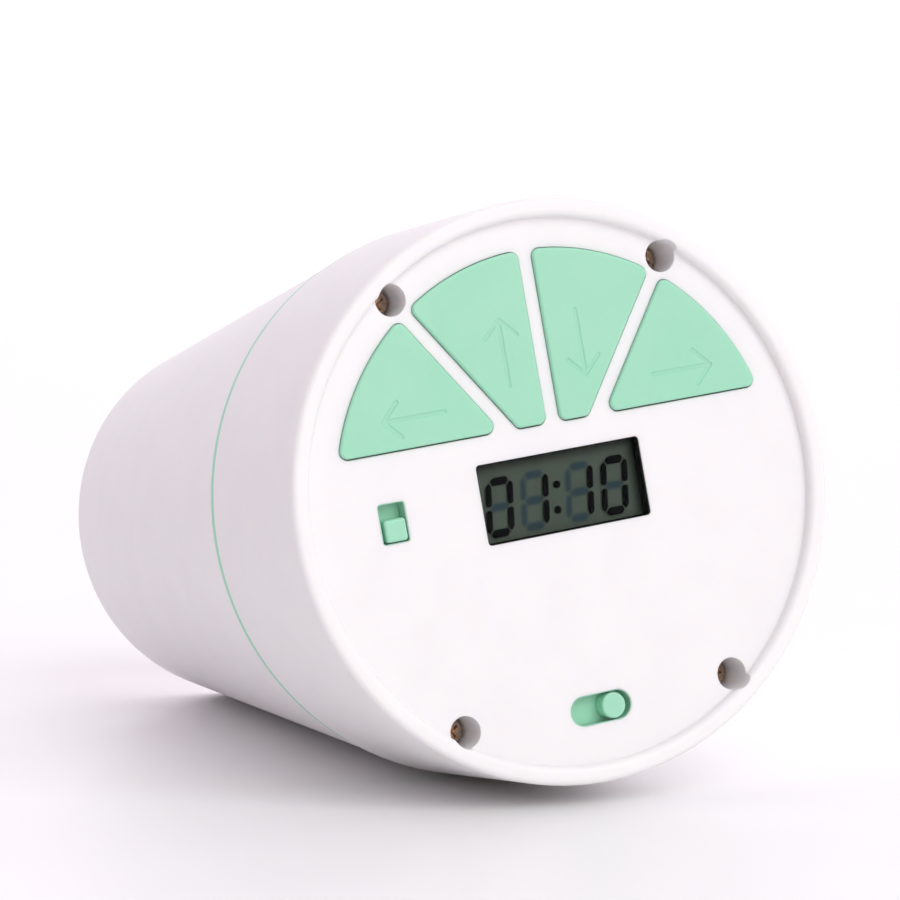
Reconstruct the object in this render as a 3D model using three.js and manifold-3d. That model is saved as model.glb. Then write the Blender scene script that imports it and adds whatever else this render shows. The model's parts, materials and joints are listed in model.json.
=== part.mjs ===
// Automatic fish feeder: a fixed control head with a recessed key face, and a tapered food drum
// that the head turns. Everything is made in the device frame and then laid on its side.
// Device frame, in mm: the origin is the centre of the rim, +Z points out of the control face,
// +X is to the right of the face and +Y is up the face.

import * as THREE from "three";
import { mergeVertices } from "three/addons/utils/BufferGeometryUtils.js";
import Module from "manifold-3d";

const wasm = await Module();
wasm.setup();

const degrees = Math.PI / 180;

// ---- driving dimensions, mm ----
const GAP = 0.3; // between pieces that touch or slide on each other
const ROUND_SIDES = 48; // sides of the big round shells
const ROLL = 8.36 * degrees; // turn about its own axis, as it lies

const COLLAR_R = 44;
const RIM_INNER_R = 41.2;
const SKIRT_INNER_R = 41.4;
const HEAD_LENGTH = 35.6;
const RECESS = 1.9; // rim to control face
const FACE_THICKNESS = 2.2;

const DRUM_MOUTH_R = 43.6;
const DRUM_END_R = 33.3;
const TOTAL_LENGTH = 145.5;
const DRUM_WALL = 2;
const DRUM_END_ROUNDING = 1.5;
const SEAM_RING = 1; // width of the visible edge of the drum cover
const SEAM_R = 43.8;

const KEY_OUTER_R = 36.5;
const KEY_BOTTOM_Y = 10.4;
const KEY_HALF_GAP = 1.2;
const KEY_SPOKE = 55 * degrees; // between the side keys and the middle keys
const KEY_PROUD = 0.7;
const KEY_TRAVEL = 0.8;
const KEY_CORNER = 1.2;

const WINDOW = { width: 27.25, height: 12.1, corner: 0.6 };
const WELL = { x: 22.5, y: 32.3, radius: 2.45, tubeRadius: 3.2, depth: 7.5 };
const SIDE_SWITCH = { x: -28, y: 0, width: 4.4, height: 6.1, knobHeight: 3.4, travel: 2.1 };
const LOWER_SWITCH = { x: -0.1, y: -33.1, width: 10.2, height: 4.6, travel: 4.4 };

const GEAR_MODULE = 0.8;
const TEETH = { pinion: 10, idlerLarge: 24, idlerSmall: 12, drive: 16 };
const IDLER_Y = (GEAR_MODULE * (TEETH.idlerSmall + TEETH.drive)) / 2;
const MOTOR_Y = IDLER_Y + (GEAR_MODULE * (TEETH.idlerLarge + TEETH.pinion)) / 2;
const MOTOR_R = 12;
const MOTOR_BOSS_R = 2.6;
const SHAFT_R = 3;
const SHAFT_PIN_R = 1; // of the motor's shaft and the idler's pin

const CELL = { radius: 5.25, length: 44.5, x: 26.5, z: -21 };
const OUTLET = { start: 22, length: 24, width: 11, shutterOpen: 12, shutterLength: 30 };

// ---- heights along the axis ----
const FACE_Z = -RECESS;
const FACE_BACK_Z = FACE_Z - FACE_THICKNESS;
const BOARD_Z = -10.7;
const BOARD_THICKNESS = 1.6;
const BOARD_BACK_Z = BOARD_Z - BOARD_THICKNESS;
const WELL_SEAT_Z = FACE_Z - WELL.depth;
const WELL_END_Z = WELL_SEAT_Z - 2;
const COVER_Z = -33;
const COVER_BACK_Z = -35.3;
const SPIGOT_END_Z = -41.3;
const DRUM_COVER_Z = -HEAD_LENGTH - GAP;
const SHELL_Z = DRUM_COVER_Z - SEAM_RING - GAP;
const GEAR_LAYER_1 = { top: -27.2, bottom: -29.6 };
const GEAR_LAYER_2 = { top: -30.2, bottom: -32.6 };
const PLATE_Z = -25.3;
const PLATE_BACK_Z = -26.9;

// ---- colours ----
const WHITE_PLASTIC = { color: 0xf2eff0, roughness: 0.42, metalness: 0 };
const MINT_PLASTIC = { color: 0xa6e6c8, roughness: 0.4, metalness: 0 };
const CLEAR_PLASTIC = { color: 0xdfe6e2, roughness: 0.08, metalness: 0, transparent: true, opacity: 0.3 };
const LCD_GLASS = { color: 0x6c7873, roughness: 0.25, metalness: 0 };
const BLACK_PLASTIC = { color: 0x1c1c1e, roughness: 0.5, metalness: 0 };
const BLACK_RUBBER = { color: 0x252525, roughness: 0.8, metalness: 0 };
const RED_RUBBER = { color: 0xb02a22, roughness: 0.6, metalness: 0 };
const BOARD_GREEN = { color: 0x1f6b3c, roughness: 0.45, metalness: 0 };
const NATURAL_PLASTIC = { color: 0xe6e2d6, roughness: 0.5, metalness: 0 };
const STEEL = { color: 0xb4b2ad, roughness: 0.3, metalness: 1 };
const BRASS = { color: 0xc9a24e, roughness: 0.32, metalness: 1 };

const device = new THREE.Group();

// ---- solids ----

function solid(geometry) {
  geometry.deleteAttribute("normal");
  geometry.deleteAttribute("uv");
  const merged = mergeVertices(geometry);
  const corners = merged.index.array;
  const triangles = [];
  for (let i = 0; i < corners.length; i += 3) {
    const [a, b, c] = corners.slice(i, i + 3);
    if (a !== b && b !== c && c !== a) triangles.push(a, b, c);
  }
  const vertProperties = new Float32Array(merged.attributes.position.array);
  const asMesh = (triVerts) => new wasm.Mesh({ numProp: 3, vertProperties, triVerts });
  const body = new wasm.Manifold(asMesh(new Uint32Array(triangles)));
  if (body.volume() > 0) return body;
  return new wasm.Manifold(asMesh(new Uint32Array(triangles.reverse())));
}

function join(...bodies) {
  return bodies.reduce((sum, body) => sum.add(body));
}

function cut(body, ...tools) {
  return tools.reduce((rest, tool) => rest.subtract(tool), body);
}

function piece(name, body, look) {
  const { vertProperties, triVerts } = body.getMesh();
  const geometry = new THREE.BufferGeometry();
  geometry.setAttribute("position", new THREE.BufferAttribute(vertProperties, 3));
  geometry.setIndex(new THREE.BufferAttribute(triVerts, 1));
  geometry.computeVertexNormals();
  const mesh = new THREE.Mesh(geometry, new THREE.MeshStandardMaterial(look));
  mesh.name = name;
  device.add(mesh);
  return mesh;
}

function box(x, y, z, placement = new THREE.Matrix4()) {
  const geometry = new THREE.BoxGeometry(x[1] - x[0], y[1] - y[0], z[1] - z[0]);
  geometry.translate((x[0] + x[1]) / 2, (y[0] + y[1]) / 2, (z[0] + z[1]) / 2);
  geometry.applyMatrix4(placement);
  return solid(geometry);
}

function cylinder(radius, zTop, zBottom, { x = 0, y = 0, sides = 24, tip = radius } = {}) {
  const geometry = new THREE.CylinderGeometry(radius, tip, zTop - zBottom, sides);
  geometry.rotateX(Math.PI / 2);
  geometry.translate(x, y, (zTop + zBottom) / 2);
  return solid(geometry);
}

// An outline of [x, y, rounding] corners, with each rounded corner as an arc.
function rounded(corners, steps = 4) {
  const points = [];
  corners.forEach(([x, y, radius], i) => {
    const corner = new THREE.Vector2(x, y);
    if (!radius) {
      points.push(corner);
      return;
    }
    const [ax, ay] = corners[(i + corners.length - 1) % corners.length];
    const [bx, by] = corners[(i + 1) % corners.length];
    const back = new THREE.Vector2(ax - x, ay - y).normalize();
    const ahead = new THREE.Vector2(bx - x, by - y).normalize();
    const half = Math.acos(THREE.MathUtils.clamp(back.dot(ahead), -1, 1)) / 2;
    const centre = back.clone().add(ahead).normalize();
    centre.multiplyScalar(radius / Math.sin(half)).add(corner);
    const start = back.clone().multiplyScalar(radius / Math.tan(half)).add(corner).sub(centre);
    const end = ahead.clone().multiplyScalar(radius / Math.tan(half)).add(corner).sub(centre);
    const sweep = Math.atan2(start.cross(end), start.dot(end));
    for (let k = 0; k <= steps; k += 1) {
      const turn = (sweep * k) / steps;
      points.push(start.clone().rotateAround(new THREE.Vector2(), turn).add(centre));
    }
  });
  return points;
}

function prism(points, zTop, zBottom) {
  const settings = { depth: zTop - zBottom, bevelEnabled: false };
  const geometry = new THREE.ExtrudeGeometry(new THREE.Shape(points), settings);
  geometry.translate(0, 0, zBottom);
  return solid(geometry);
}

function roundedBox(centre, width, height, corner, zTop, zBottom) {
  const [x, y] = centre;
  const half = [width / 2, height / 2];
  const signs = [[-1, -1], [1, -1], [1, 1], [-1, 1]];
  const outline = signs.map(([sx, sy]) => [x + sx * half[0], y + sy * half[1], corner]);
  return prism(rounded(outline), zTop, zBottom);
}

// A body of revolution about Z from a [radius, height] profile that starts and ends on the axis.
// The sides touch the profile's radii from outside, and one of them faces straight down as it lies.
function turned(profile, sides = ROUND_SIDES) {
  const swell = 1 / Math.cos(Math.PI / sides);
  const points = profile.map(([radius, height]) => new THREE.Vector2(radius * swell, height));
  const geometry = new THREE.LatheGeometry(points, sides);
  geometry.rotateX(Math.PI / 2);
  geometry.rotateZ(-ROLL - Math.PI / sides);
  return solid(geometry);
}

function disc(radius, zTop, zBottom, sides = ROUND_SIDES) {
  return turned([[0, zBottom], [radius, zBottom], [radius, zTop], [0, zTop]], sides);
}

function tube(path, radius, steps, sides = 8) {
  const ring = new THREE.Shape();
  ring.setFromPoints(
    Array.from({ length: sides }, (_, k) => {
      const angle = (k * 2 * Math.PI) / sides;
      return new THREE.Vector2(radius * Math.cos(angle), radius * Math.sin(angle));
    }),
  );
  const settings = { steps, extrudePath: path, bevelEnabled: false };
  return solid(new THREE.ExtrudeGeometry(ring, settings));
}

const wellPlaces = [
  [-WELL.x, WELL.y],
  [WELL.x, WELL.y],
  [WELL.x, -WELL.y],
  [-WELL.x, -WELL.y],
];

// ---- control keys ----

// The outline of one key, grown by margin. Keys left of centre; right keys are mirrored.
function keyOutline(place, margin = 0) {
  const radius = KEY_OUTER_R + margin;
  const bottom = KEY_BOTTOM_Y - margin;
  const gap = KEY_HALF_GAP - margin;
  const spokeAngle = Math.PI - KEY_SPOKE;
  const slip = Math.asin(gap / radius);
  const shift = gap / Math.sin(KEY_SPOKE);
  const atBottom = -bottom / Math.tan(KEY_SPOKE);
  const side = place === "left" || place === "right";
  const from = side ? spokeAngle + slip : Math.PI / 2 + slip;
  const to = side ? Math.PI - Math.asin(bottom / radius) : spokeAngle - slip;
  const arcSteps = 8;
  const corners = [];
  for (let k = 0; k <= arcSteps; k += 1) {
    const angle = from + ((to - from) * k) / arcSteps;
    const rounding = k === 0 || k === arcSteps ? KEY_CORNER : 0;
    corners.push([radius * Math.cos(angle), radius * Math.sin(angle), rounding]);
  }
  if (side) {
    corners.push([atBottom - shift, bottom, KEY_CORNER]);
  } else {
    corners.push([atBottom + shift, bottom, KEY_CORNER]);
    corners.push([-gap, bottom, KEY_CORNER]);
  }
  const mirrored = place === "right" || place === "down";
  return rounded(corners.map(([x, y, r]) => [mirrored ? -x : x, y, r]));
}

const keyPlaces = {
  left: [-22.3, 16],
  up: [-6.3, 21.8],
  down: [6.3, 21.8],
  right: [22.3, 16],
};
const FLANGE = { margin: 0.85, top: -4.4, bottom: -5.2 };
const PLUNGER = { radius: 1.7, top: -5.5, bottom: -8.5 };
const TACT = { size: 6, top: -7, bottom: BOARD_Z + GAP };

function makeKey(place) {
  const [x, y] = keyPlaces[place];
  const cap = prism(keyOutline(place), FACE_Z + KEY_PROUD, FLANGE.top);
  const wide = prism(keyOutline(place, FLANGE.margin), FLANGE.top, FLANGE.bottom);
  const wells = wellPlaces.map(([wx, wy]) => {
    return cylinder(WELL.tubeRadius + 2 * GAP, 0, FLANGE.bottom - 1, { x: wx, y: wy });
  });
  piece(`key_${place}`, join(cap, cut(wide, ...wells)), MINT_PLASTIC);
  const plunger = cylinder(PLUNGER.radius, PLUNGER.top, PLUNGER.bottom, { x, y, sides: 16 });
  piece(`tact_plunger_${place}`, plunger, BLACK_PLASTIC);
  const half = TACT.size / 2;
  const body = box([x - half, x + half], [y - half, y + half], [TACT.bottom, TACT.top]);
  const bore = cylinder(
    PLUNGER.radius + GAP,
    TACT.top + 1,
    PLUNGER.bottom - KEY_TRAVEL - GAP,
    { x, y, sides: 16 },
  );
  piece(`tact_switch_${place}`, cut(body, bore), BLACK_PLASTIC);
}

// ---- slide switches ----

function obround(centre, length, height, zTop, zBottom) {
  return roundedBox(centre, length, height, height / 2 - 0.01, zTop, zBottom);
}

const SLIDER = { top: -4.4, bottom: -5.6, knobTop: FACE_Z + 0.2, stemBottom: -7.4 };
const SWITCH_BODY = { top: -6, bottom: BOARD_Z + GAP };

function makeSideSwitch() {
  const { x, y, width, height, knobHeight, travel } = SIDE_SWITCH;
  const low = y - height / 2 + GAP;
  const plateX = [x - width / 2 - 1, x + width / 2 + 1];
  const plate = box(plateX, [y - 5.6, y + 3.2], [SLIDER.bottom, SLIDER.top]);
  const knobX = x + 0.15;
  const knobCentre = [knobX, low + knobHeight / 2];
  const knob = roundedBox(knobCentre, width - 3 * GAP, knobHeight, 0.5, SLIDER.knobTop, SLIDER.top);
  const stem = box([x - 0.9, x + 0.9], [y - 1.9, y - 0.1], [SLIDER.stemBottom, SLIDER.bottom]);
  piece("side_switch_knob", join(plate, knob, stem), MINT_PLASTIC);
  const body = box([x - 3, x + 3], [y - 5.5, y + 5.5], [SWITCH_BODY.bottom, SWITCH_BODY.top]);
  const slot = box([x - 1.3, x + 1.3], [y - 2.3, y + travel + 0.3], [SLIDER.stemBottom - GAP, -5]);
  piece("side_switch_body", cut(body, slot), BLACK_PLASTIC);
}

function makeLowerSwitch() {
  const { x, y, width, height, travel } = LOWER_SWITCH;
  const plate = box([x - 5.4, x + 9.6], [y - 3.2, y + 3.2], [SLIDER.bottom, SLIDER.top]);
  const knobX = x + width / 2 - height / 2 - 0.7;
  const knob = cylinder(1.95, SLIDER.knobTop, SLIDER.top, { x: knobX, y, sides: 24 });
  const stemX = knobX - 1;
  const stem = box([stemX - 0.9, stemX + 0.9], [y - 0.9, y + 0.9], [SLIDER.stemBottom, SLIDER.bottom]);
  piece("lower_switch_knob", join(plate, knob, stem), MINT_PLASTIC);
  const body = box([x - 5.5, x + 5.5], [y - 2.8, y + 2.8], [SWITCH_BODY.bottom, SWITCH_BODY.top]);
  const slot = box(
    [stemX - travel - 1.3, stemX + 1.3],
    [y - 1.3, y + 1.3],
    [SLIDER.stemBottom - GAP, -5],
  );
  piece("lower_switch_body", cut(body, slot), BLACK_PLASTIC);
}

// ---- housings of the head ----

const boardPosts = [[-12, -25], [12, -25]];
const BOSS = { radius: 2.6, threadRadius: 1.3 };
const BOARD_THREAD_TOP_Z = -6;
const RIM_EDGE = { outer: 1, outerChamfer: 0.3, inner: 0.4 };
const SCREW_HOLE_R = 1.4;

function makeFrontHousing() {
  const shell = turned([
    [0, FACE_BACK_Z],
    [SKIRT_INNER_R, FACE_BACK_Z],
    [SKIRT_INNER_R, -HEAD_LENGTH],
    [COLLAR_R, -HEAD_LENGTH],
    [COLLAR_R, -RIM_EDGE.outer],
    [COLLAR_R - RIM_EDGE.outerChamfer, -RIM_EDGE.outerChamfer],
    [COLLAR_R - RIM_EDGE.outer, 0],
    [RIM_INNER_R + RIM_EDGE.inner, 0],
    [RIM_INNER_R, -RIM_EDGE.inner],
    [RIM_INNER_R, FACE_Z],
    [0, FACE_Z],
  ]);
  const tubes = wellPlaces.map(([x, y]) => {
    return cylinder(WELL.tubeRadius, FACE_Z - 0.5, WELL_END_Z, { x, y });
  });
  const wells = wellPlaces.map(([x, y]) => {
    return cylinder(WELL.radius, 1, WELL_SEAT_Z, { x, y, sides: 28 });
  });
  const screwHoles = wellPlaces.map(([x, y]) => {
    return cylinder(SCREW_HOLE_R, WELL_SEAT_Z + 1, WELL_END_Z - 1, { x, y });
  });
  const posts = boardPosts.map(([x, y]) => {
    return cylinder(BOSS.radius, FACE_BACK_Z + 0.5, BOARD_Z + GAP, { x, y });
  });
  const threads = boardPosts.map(([x, y]) => {
    return cylinder(BOSS.threadRadius, BOARD_THREAD_TOP_Z, BOARD_Z, { x, y, sides: 16 });
  });
  const keyHoles = Object.keys(keyPlaces).map((place) => {
    return prism(keyOutline(place, GAP), 1, FACE_BACK_Z - 1);
  });
  const { width, height, corner } = WINDOW;
  const windowHole = roundedBox([0, 0], width, height, corner, 1, FACE_BACK_Z - 1);
  const side = SIDE_SWITCH;
  const sideHole = roundedBox([side.x, side.y], side.width, side.height, 0.5, 1, FACE_BACK_Z - 1);
  const lower = LOWER_SWITCH;
  const lowerHole = obround([lower.x, lower.y], lower.width, lower.height, 1, FACE_BACK_Z - 1);
  const full = join(shell, ...tubes, ...posts);
  const open = cut(full, ...wells, ...screwHoles, ...threads, ...keyHoles);
  piece("front_housing", cut(open, windowHole, sideHole, lowerHole), WHITE_PLASTIC);
}

const DOOR = { halfWidth: 5.3, halfLength: 24.2, lip: 1, lipDepth: 1, tabInset: 3, tabY: 28, tabR: 3 };

// A battery door, or with a margin the hole that it drops into.
function doorSolid(sign, margin, zTop, zBottom) {
  const x = sign * CELL.x;
  const wide = DOOR.halfWidth + margin;
  const long = DOOR.halfLength + margin;
  const plug = box([x - wide, x + wide], [-long, long], [zBottom, zTop]);
  const lipTop = COVER_BACK_Z + DOOR.lipDepth + margin;
  const lip = DOOR.lip + margin;
  const lipX = [x - DOOR.halfWidth - lip, x + DOOR.halfWidth + lip];
  const lipY = [-DOOR.halfLength - lip, DOOR.halfLength + lip];
  const plate = box(lipX, lipY, [zBottom, lipTop]);
  const tabX = x - sign * DOOR.tabInset;
  const tabR = DOOR.tabR + margin;
  const tabTop = COVER_Z - GAP + margin;
  const tab = cylinder(tabR, tabTop, zBottom, { x: tabX, y: DOOR.tabY });
  const neckY = [DOOR.halfLength - 1 - margin, DOOR.tabY];
  const neck = box([tabX - tabR, tabX + tabR], neckY, [zBottom, tabTop]);
  return join(plug, plate, tab, neck);
}

function makeBatteryDoor(name, sign) {
  const place = { x: sign * (CELL.x - DOOR.tabInset), y: DOOR.tabY };
  const hole = cylinder(1.4, COVER_Z + 1, COVER_BACK_Z - 1, { ...place, sides: 16 });
  const sink = cylinder(2.5, COVER_BACK_Z + 1.2, COVER_BACK_Z - 1, place);
  const trimmed = doorSolid(sign, 0, COVER_Z, COVER_BACK_Z).intersect(disc(40.4, 0, -40));
  piece(`battery_door_${name}`, cut(trimmed, hole, sink), WHITE_PLASTIC);
  const head = cylinder(2.1, COVER_BACK_Z + 0.9, COVER_BACK_Z + 0.1, place);
  const shank = cylinder(1, -28.2, COVER_BACK_Z + 0.5, { ...place, sides: 12 });
  piece(`door_screw_${name}`, join(head, shank), STEEL);
}

const platePosts = [[-15.5, IDLER_Y], [15.5, IDLER_Y]];
const HOUSING_THREAD_END_Z = -25;

function makeRearCover() {
  const skirtLimit = disc(SKIRT_INNER_R - GAP, 0, -60);
  const plate = disc(SKIRT_INNER_R - GAP, COVER_Z, COVER_BACK_Z);
  const posts = wellPlaces.map(([x, y]) => {
    return cylinder(WELL.tubeRadius, WELL_END_Z - GAP, COVER_Z - 0.5, { x, y }).intersect(skirtLimit);
  });
  const threads = wellPlaces.map(([x, y]) => {
    return cylinder(SCREW_HOLE_R, WELL_END_Z, HOUSING_THREAD_END_Z, { x, y, sides: 16 });
  });
  const gearPosts = platePosts.map(([x, y]) => {
    return cylinder(BOSS.radius, PLATE_BACK_Z - GAP, COVER_Z - 0.5, { x, y });
  });
  const gearThreads = platePosts.map(([x, y]) => {
    return cylinder(BOSS.threadRadius, PLATE_BACK_Z, COVER_Z + 1, { x, y, sides: 16 });
  });
  const spigot = cylinder(8, COVER_Z - 0.5, SPIGOT_END_Z, { sides: 32 });
  const bushingHole = cylinder(4.5 + GAP, COVER_Z + 1, SPIGOT_END_Z - 1, { sides: 32 });
  const pinHole = cylinder(SHAFT_PIN_R + GAP, COVER_Z + 1, COVER_BACK_Z + 0.7, { y: IDLER_Y, sides: 16 });
  const doorHoles = [-1, 1].map((sign) => {
    return doorSolid(sign, GAP, COVER_Z + 1, COVER_BACK_Z - 1).intersect(disc(40.7, 0, -40));
  });
  const screwBosses = [-1, 1].map((sign) => {
    const place = { x: sign * (CELL.x - DOOR.tabInset), y: DOOR.tabY + 0.3 };
    return cylinder(2.4, -27, COVER_Z, place);
  });
  const screwHoles = [-1, 1].map((sign) => {
    const place = { x: sign * (CELL.x - DOOR.tabInset), y: DOOR.tabY, sides: 16 };
    return cylinder(BOSS.threadRadius, -27.9, COVER_BACK_Z - 1, place);
  });
  const full = join(plate, ...posts, ...gearPosts, spigot);
  const open = cut(full, ...threads, ...gearThreads, bushingHole, pinHole, ...doorHoles);
  piece("rear_cover", cut(join(open, ...screwBosses), ...screwHoles), WHITE_PLASTIC);
}

function makeHousingScrews() {
  wellPlaces.forEach(([x, y], i) => {
    const head = cylinder(2.1, WELL_SEAT_Z + 1.9, WELL_SEAT_Z + GAP, { x, y });
    const shank = cylinder(1.1, WELL_SEAT_Z + 1, HOUSING_THREAD_END_Z + 1, { x, y, sides: 16 });
    const armX = box([x - 1.2, x + 1.2], [y - 0.22, y + 0.22], [WELL_SEAT_Z + 1, WELL_SEAT_Z + 3]);
    const armY = box([x - 0.22, x + 0.22], [y - 1.2, y + 1.2], [WELL_SEAT_Z + 1, WELL_SEAT_Z + 3]);
    piece(`housing_screw_${i + 1}`, cut(join(head, shank), armX, armY), STEEL);
  });
}

// ---- display and board ----

function makeDisplay() {
  const { width, height, corner } = WINDOW;
  const lens = roundedBox([0, 0], width - 2 * GAP, height - 2 * GAP, corner, FACE_Z - 0.5, -4.1);
  piece("display_window", lens, CLEAR_PLASTIC);
  piece("lcd_glass", box([-15.5, 15.5], [-8, 8], [-7.2, -4.4]), LCD_GLASS);
  const frame = box([-17, 17], [-9, 9], [BOARD_Z + GAP, -4.7]);
  const pocket = box([-15.8, 15.8], [-8.3, 8.3], [-7.5, -4]);
  const opening = box([-14, 14], [-4.5, 4.5], [-12, -4]);
  const upperSlot = box([-14, 14], [5, 7.2], [-12, -4]);
  const lowerSlot = box([-14, 14], [-7.2, -5], [-12, -4]);
  piece("lcd_holder", cut(frame, pocket, opening, upperSlot, lowerSlot), WHITE_PLASTIC);
  const strip = (low, high) => box([-13.7, 13.7], [low, high], [BOARD_Z + GAP, -7.5]);
  piece("contact_strip_upper", strip(5.3, 6.9), BLACK_RUBBER);
  piece("contact_strip_lower", strip(-6.9, -5.3), BLACK_RUBBER);
}

function makeBoard() {
  const blank = cylinder(38.5, BOARD_Z, BOARD_BACK_Z, { sides: 40 });
  const notches = wellPlaces.map(([x, y]) => cylinder(WELL.tubeRadius + 0.5, 0, -20, { x, y }));
  const screwHoles = boardPosts.map(([x, y]) => {
    return cylinder(BOSS.threadRadius, 0, -20, { x, y, sides: 16 });
  });
  piece("main_board", cut(blank, ...notches, ...screwHoles), BOARD_GREEN);
  const chipTop = BOARD_BACK_Z - GAP;
  piece("controller_chip", box([-5, 5], [-19, -9], [chipTop - 1.6, chipTop]), BLACK_PLASTIC);
  boardPosts.forEach(([x, y], i) => {
    const head = cylinder(2, BOARD_BACK_Z - GAP, BOARD_BACK_Z - 1.5, { x, y });
    const shank = cylinder(1, -6.6, BOARD_BACK_Z - 0.6, { x, y, sides: 12 });
    piece(`board_screw_${i === 0 ? "left" : "right"}`, join(head, shank), STEEL);
  });
}

// ---- drive ----

// A spur gear with straight-sided teeth. One tooth points along firstTooth.
function gearSolid(teeth, centreY, layer, firstTooth) {
  const pitchR = (GEAR_MODULE * teeth) / 2;
  const rootR = pitchR - 1.2 * GEAR_MODULE;
  const tipR = pitchR + 0.8 * GEAR_MODULE;
  const step = (2 * Math.PI) / teeth;
  const points = [];
  for (let k = 0; k < teeth; k += 1) {
    const middle = firstTooth + k * step;
    const flank = [[rootR, -0.29], [tipR, -0.12], [tipR, 0.12], [rootR, 0.29]];
    flank.forEach(([radius, part]) => {
      const angle = middle + part * step;
      points.push(new THREE.Vector2(radius * Math.cos(angle), radius * Math.sin(angle) + centreY));
    });
  }
  return prism(points, layer.top, layer.bottom);
}

function makeDrive() {
  const upward = Math.PI / 2;
  const motorTop = BOARD_BACK_Z - 0.6;
  const can = cylinder(MOTOR_R, motorTop, PLATE_Z + GAP, { y: MOTOR_Y, sides: 32 });
  const boss = cylinder(MOTOR_BOSS_R, PLATE_Z + 1, PLATE_BACK_Z, { y: MOTOR_Y });
  const motorBore = cylinder(SHAFT_PIN_R + GAP, -22, -30, { y: MOTOR_Y, sides: 16 });
  piece("drive_motor", cut(join(can, boss), motorBore), STEEL);

  const pinionStep = Math.PI / TEETH.pinion;
  const pinion = gearSolid(TEETH.pinion, MOTOR_Y, GEAR_LAYER_1, -upward + pinionStep);
  const motorShaft = cylinder(SHAFT_PIN_R, -22.3, GEAR_LAYER_1.bottom, { y: MOTOR_Y, sides: 16 });
  piece("motor_pinion", join(pinion, motorShaft), BRASS);

  const large = gearSolid(TEETH.idlerLarge, IDLER_Y, GEAR_LAYER_1, upward);
  const small = gearSolid(TEETH.idlerSmall, IDLER_Y, GEAR_LAYER_2, -upward);
  const collar = cylinder(3, GEAR_LAYER_1.bottom + 0.2, GEAR_LAYER_2.top - 0.2, { y: IDLER_Y });
  const idlerBore = cylinder(SHAFT_PIN_R + GAP, 0, -60, { y: IDLER_Y, sides: 16 });
  piece("idler_gear", cut(join(large, small, collar), idlerBore), NATURAL_PLASTIC);
  piece("idler_pin", cylinder(SHAFT_PIN_R, PLATE_Z - 0.2, -34.3, { y: IDLER_Y, sides: 16 }), STEEL);

  const driveStep = Math.PI / TEETH.drive;
  const driveGear = gearSolid(TEETH.drive, 0, GEAR_LAYER_2, upward + driveStep);
  const shaft = cylinder(SHAFT_R, GEAR_LAYER_2.bottom + 0.5, SPIGOT_END_Z - 0.2, { sides: 24 });
  const hexEnd = cylinder(SHAFT_R - 0.2, SPIGOT_END_Z, -49, { sides: 6 });
  piece("drive_shaft", join(driveGear, shaft, hexEnd), NATURAL_PLASTIC);

  const sleeve = cylinder(4.5, COVER_Z, SPIGOT_END_Z + 0.2, { sides: 32 });
  const sleeveBore = cylinder(SHAFT_R + GAP, 0, -60, { sides: 32 });
  piece("drive_bushing", cut(sleeve, sleeveBore), BRASS);

  const plate = roundedBox([0, (7 + 34) / 2], 37, 27, 2, PLATE_Z, PLATE_BACK_Z);
  const bossHole = cylinder(MOTOR_BOSS_R + GAP, 0, -60, { y: MOTOR_Y });
  const pinHole = cylinder(SHAFT_PIN_R + GAP, 0, -60, { y: IDLER_Y, sides: 16 });
  const plateHoles = platePosts.map(([x, y]) => {
    return cylinder(BOSS.threadRadius, 0, -60, { x, y, sides: 16 });
  });
  piece("gear_plate", cut(plate, bossHole, pinHole, ...plateHoles), WHITE_PLASTIC);
  platePosts.forEach(([x, y], i) => {
    const head = cylinder(2, PLATE_Z + 1.4, PLATE_Z + GAP, { x, y });
    const shank = cylinder(1, PLATE_Z + 0.5, -31.6, { x, y, sides: 12 });
    piece(`plate_screw_${i === 0 ? "left" : "right"}`, join(head, shank), STEEL);
  });
}

// ---- power ----

function alongY(geometry, x, y, z) {
  geometry.translate(x, y, z);
  return solid(geometry);
}

function makeCell(name, sign) {
  const x = sign * CELL.x;
  const nub = 1.2;
  const nubR = 1.9;
  const overlap = 0.1;
  const bodyLength = CELL.length - nub;
  const can = new THREE.CylinderGeometry(CELL.radius, CELL.radius, bodyLength, 20);
  const button = new THREE.CylinderGeometry(nubR, nubR, nub + overlap, 16);
  const body = alongY(can, x, 0, CELL.z);
  const cap = alongY(button, x, (sign * (bodyLength + nub - overlap)) / 2, CELL.z);
  piece(`battery_${name}`, join(body, cap), { color: 0x2f7f66, roughness: 0.35, metalness: 0.6 });

  const tray = { wide: 6.45, long: 25.4, top: -14.6, bottom: -32.7, reach: 40.9 };
  const room = { wide: 5.45, long: 24.5, top: -15.6, bottom: -40, reach: 40.3 };
  const [outer, inner] = [tray, room].map(({ wide, long, top, bottom, reach }) => {
    return box([x - wide, x + wide], [-long, long], [bottom, top]).intersect(disc(reach, 0, bottom - 1));
  });
  const leadHole = box([x - 1.2, x + 1.2], [-24.2, -21.8], [-16, -14]);
  piece(`battery_tray_${name}`, cut(outer, inner, leadHole), BLACK_PLASTIC);

  const plateY = sign * 24;
  const contactX = x - sign * 0.4;
  const plate = box([contactX - 4, contactX + 4], [plateY - 0.2, plateY + 0.2], [-25, -17]);
  piece(`plate_contact_${name}`, plate, STEEL);

  const turns = 3;
  const coil = new THREE.Curve();
  coil.getPoint = (t, target = new THREE.Vector3()) => {
    const angle = 2 * Math.PI * turns * t;
    const radius = 3.4 - 1.2 * t;
    const y = -sign * (24.1 - 1.6 * t);
    return target.set(contactX + radius * Math.cos(angle), y, CELL.z + radius * Math.sin(angle));
  };
  piece(`spring_contact_${name}`, tube(coil, 0.22, 36, 6), STEEL);
}

function makeLead(name, points, look) {
  const path = new THREE.CatmullRomCurve3(points.map((point) => new THREE.Vector3(...point)));
  piece(name, tube(path, 0.5, 14, 6), look);
}

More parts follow.
